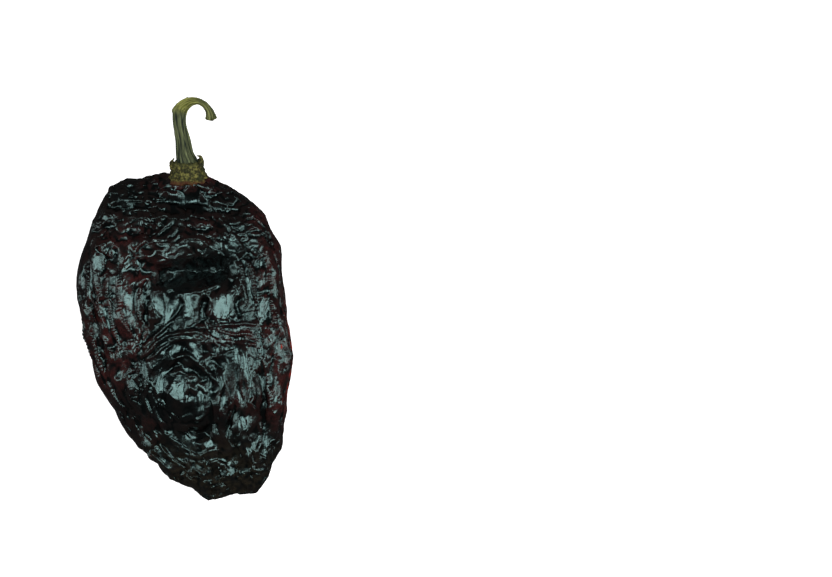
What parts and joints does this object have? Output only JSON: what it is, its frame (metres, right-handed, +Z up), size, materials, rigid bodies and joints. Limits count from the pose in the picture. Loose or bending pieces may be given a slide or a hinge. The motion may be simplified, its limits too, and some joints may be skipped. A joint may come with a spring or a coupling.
{
  "type": "dried chilli",
  "caption": "Whole dried ancho-type chilli with a flattened, deeply wrinkled pod, a ragged calyx and a ribbed stem that ends in a bent-over hook.",
  "frame": {"origin": "on the table, under the middle of the whole chilli's bounding box", "axes": "+Z up from the table, +Y along the pod towards the stem, +X across the pod to the side that the hook bends to"},
  "size_m": [0.073, 0.1352, 0.0261],
  "materials": {
    "dried_skin": "glossy, wrinkled, near-black with a dark red undertone",
    "calyx_husk": "matt, dry and rough, yellow-olive",
    "stem_bark": "matt, ribbed lengthwise, dark olive-green"
  },
  "bodies": {
    "root": {"pod": "dried_skin", "calyx": "calyx_husk", "stem": "stem_bark"}
  },
  "joints": []
}
